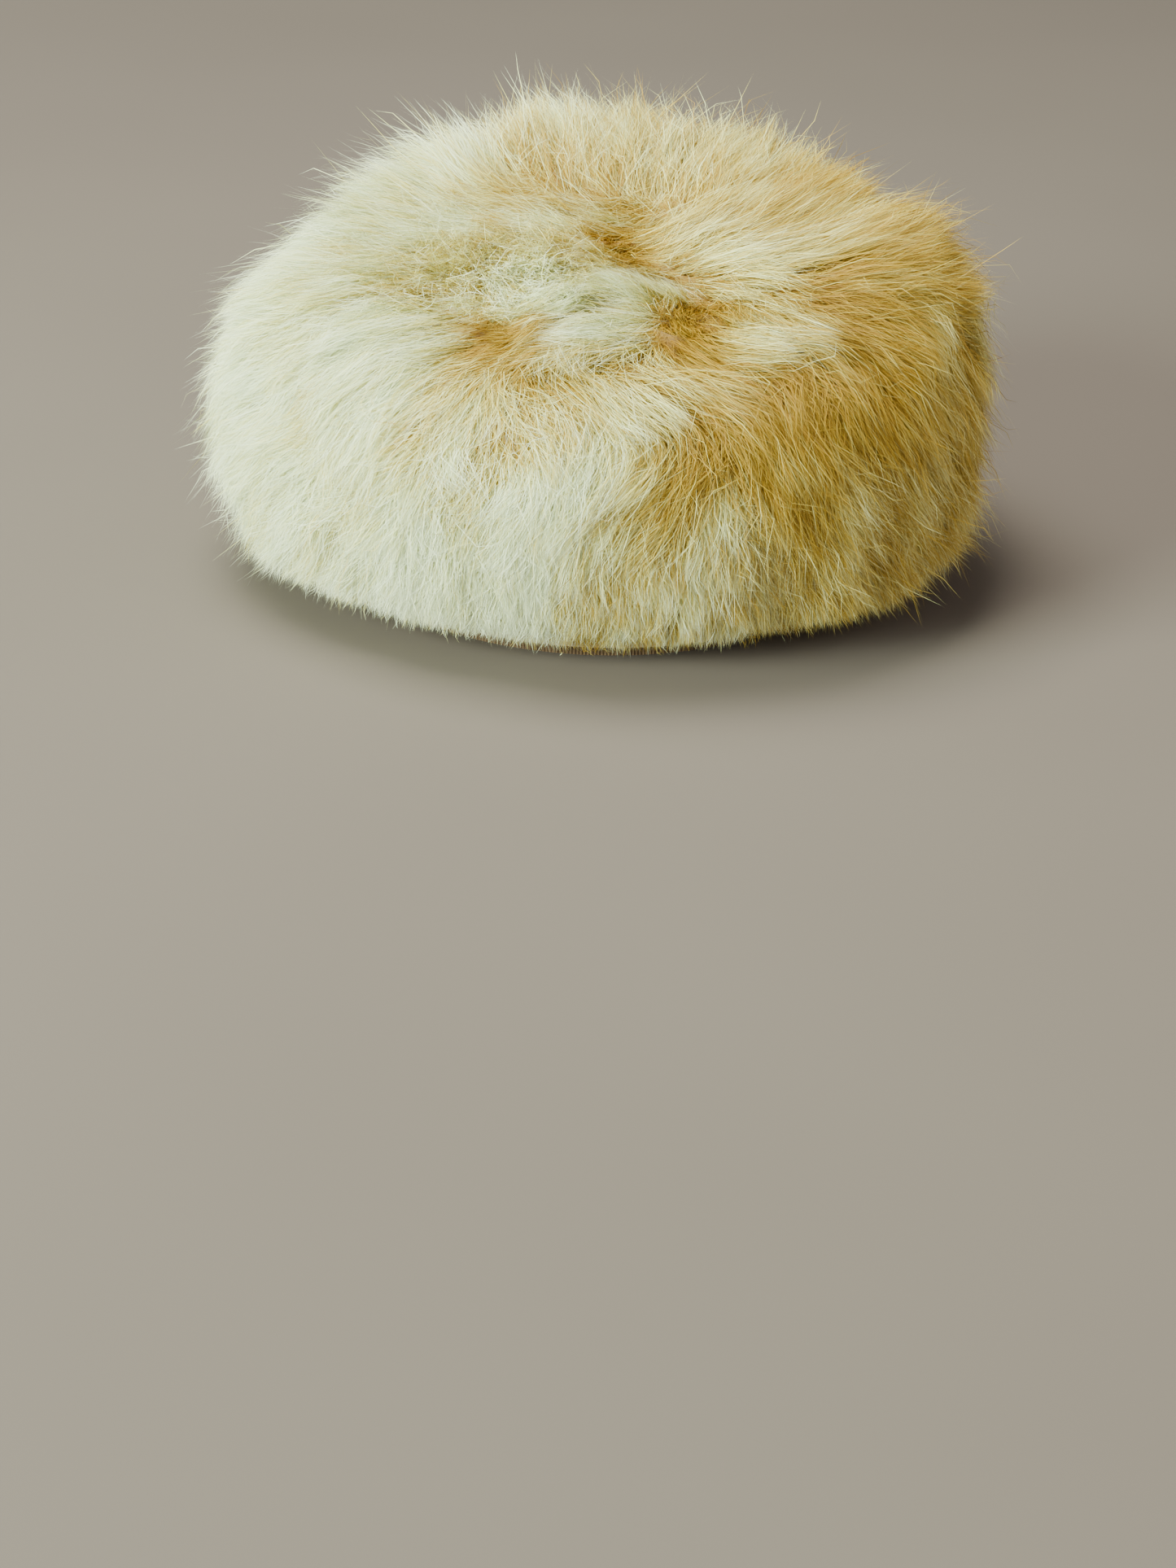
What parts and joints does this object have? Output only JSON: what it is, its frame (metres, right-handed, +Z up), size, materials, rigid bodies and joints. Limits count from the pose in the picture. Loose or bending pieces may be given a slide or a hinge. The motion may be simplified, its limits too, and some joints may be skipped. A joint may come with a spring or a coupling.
{
  "type": "fur hat",
  "caption": "Round, wide fur hat with a flat crown, made of furred side and crown panels round an open head hollow, with a lapped band along the rim.",
  "frame": {"origin": "middle of the hat's outline, on the plane that its rim rests on", "axes": "+Z up, from the rim to the crown; -Y the front of the hat; +X its left as it is worn, right as it is seen from the front"},
  "size_m": [0.2658, 0.2756, 0.1311],
  "materials": {
    "fur": "long soft cream fur, golden at the roots",
    "skin": "matt suede",
    "band": "ribbed brown tape"
  },
  "bodies": {
    "root": {"side_skin": "skin", "crown_skin": "skin", "side_fur": "fur", "crown_fur": "fur", "rim_band": "band"}
  },
  "joints": []
}
